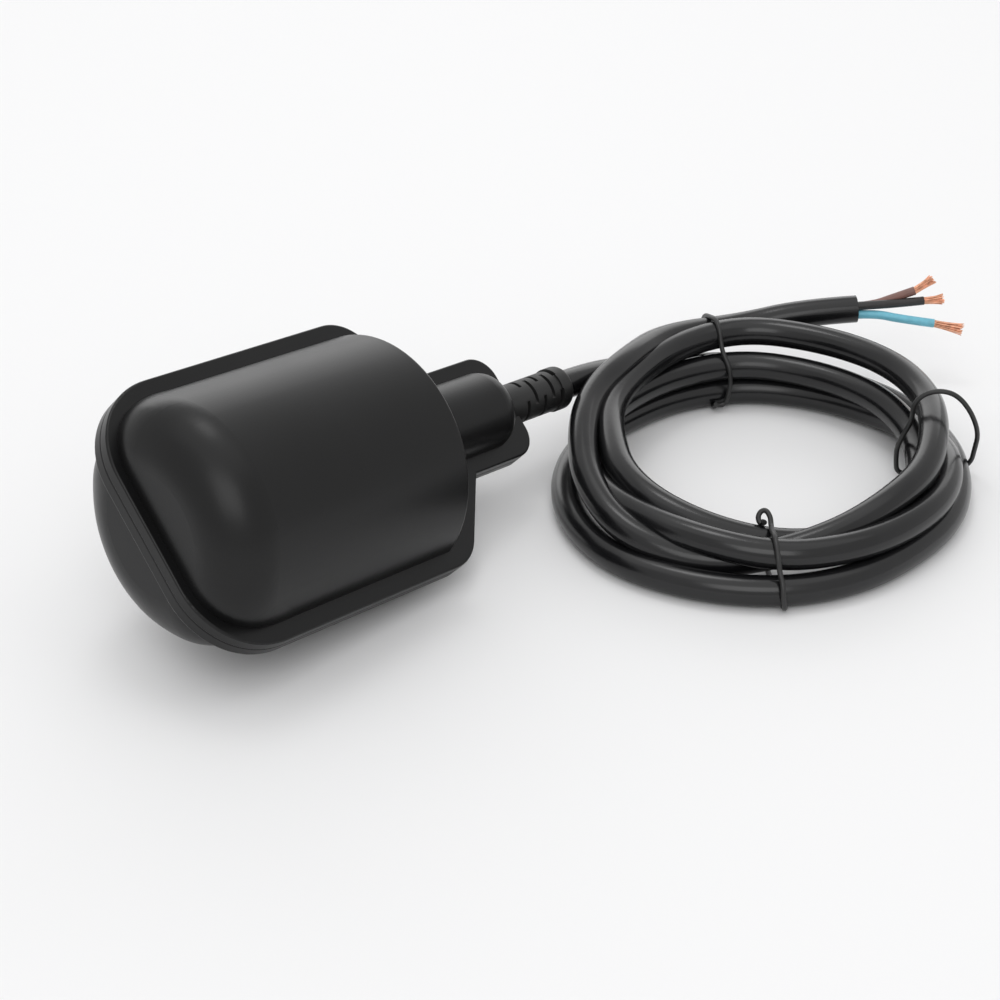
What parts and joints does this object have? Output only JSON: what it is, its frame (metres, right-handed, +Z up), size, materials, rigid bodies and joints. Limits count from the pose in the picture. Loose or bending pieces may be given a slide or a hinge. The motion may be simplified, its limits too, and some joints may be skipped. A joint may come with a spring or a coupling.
{
  "type": "float level switch",
  "caption": "Hollow two-shell float with a flanged seam and a necked cable entry, housing a ball-operated microswitch, on a coiled and tied three-core cord with stripped ends.",
  "frame": {"origin": "the middle of the float's footprint on the floor it rests on, cord left out", "axes": "+X along the float towards its neck and cord, +Z up, +Y across the float"},
  "size_m": [0.2322, 0.1208, 0.0576],
  "materials": {
    "shell": "satin black polypropylene",
    "boot": "soft black rubber",
    "sheath": "half-gloss black PVC",
    "carrier": "natural white nylon",
    "case": "moulded phenolic",
    "plunger": "red acetal",
    "screw": "zinc plated",
    "ball": "ground bearing steel",
    "spring_steel": "bright spring steel",
    "terminal": "tinned brass",
    "core_brown": "smooth PVC",
    "core_black": "smooth PVC",
    "core_blue": "smooth PVC",
    "copper": "bare copper strands",
    "tie": "plastic-coated wire"
  },
  "bodies": {
    "float": {"upper_shell": "shell", "lower_shell": "shell", "cable_boot": "boot", "neck_seal": "boot", "cord_clamp": "carrier", "clamp_screws": "screw", "cord_root": "sheath", "switch_carrier": "carrier", "carrier_screws": "screw", "channel_lid": "carrier", "lid_screws": "screw", "ms_case": "case", "ms_cover": "case", "ms_screws": "screw", "lever_pin": "spring_steel", "contact_common": "terminal", "contact_open": "terminal", "contact_closed": "terminal", "crimps": "terminal", "lead_black": "core_black", "lead_blue": "core_blue", "lead_brown": "core_brown", "cord_lead": "sheath", "cord_coil": "sheath", "cord_tail": "sheath", "core_brown": "core_brown", "core_black": "core_black", "core_blue": "core_blue", "strands_brown": "copper", "strands_black": "copper", "strands_blue": "copper", "tie_back": "tie", "tie_right": "tie", "tie_front": "tie"},
    "ball": {"ball": "ball"},
    "lever": {"ms_lever": "spring_steel"},
    "plunger": {"ms_plunger": "plunger"},
    "blade": {"ms_blade": "terminal"}
  },
  "joints": [
    {"name": "ball_roll", "type": "slide", "parent": "float", "child": "ball", "axis": [0.994, 0, -0.1097], "range_m": [-0.014, 0]},
    {"name": "lever_turn", "type": "hinge", "parent": "float", "child": "lever", "pos_m": [-0.01263, -0.00146, 0.02929], "axis": [0.0743, 0.7361, 0.6728], "range_deg": [0, 7.2]},
    {"name": "plunger_slide", "type": "slide", "parent": "float", "child": "plunger", "axis": [0.0808, -0.6769, 0.7317], "range_m": [0, 0.00175]},
    {"name": "blade_turn", "type": "hinge", "parent": "float", "child": "blade", "pos_m": [-0.01636, 0.00311, 0.0247], "axis": [0.0743, 0.7361, 0.6728], "range_deg": [0, 2.35]}
  ],
  "couplings": [
    {"joint": "lever_turn", "follows": "ball_roll", "rad_per_m": -8.97},
    {"joint": "plunger_slide", "follows": "ball_roll", "ratio": -0.1249},
    {"joint": "blade_turn", "follows": "ball_roll", "rad_per_m": -2.92}
  ]
}
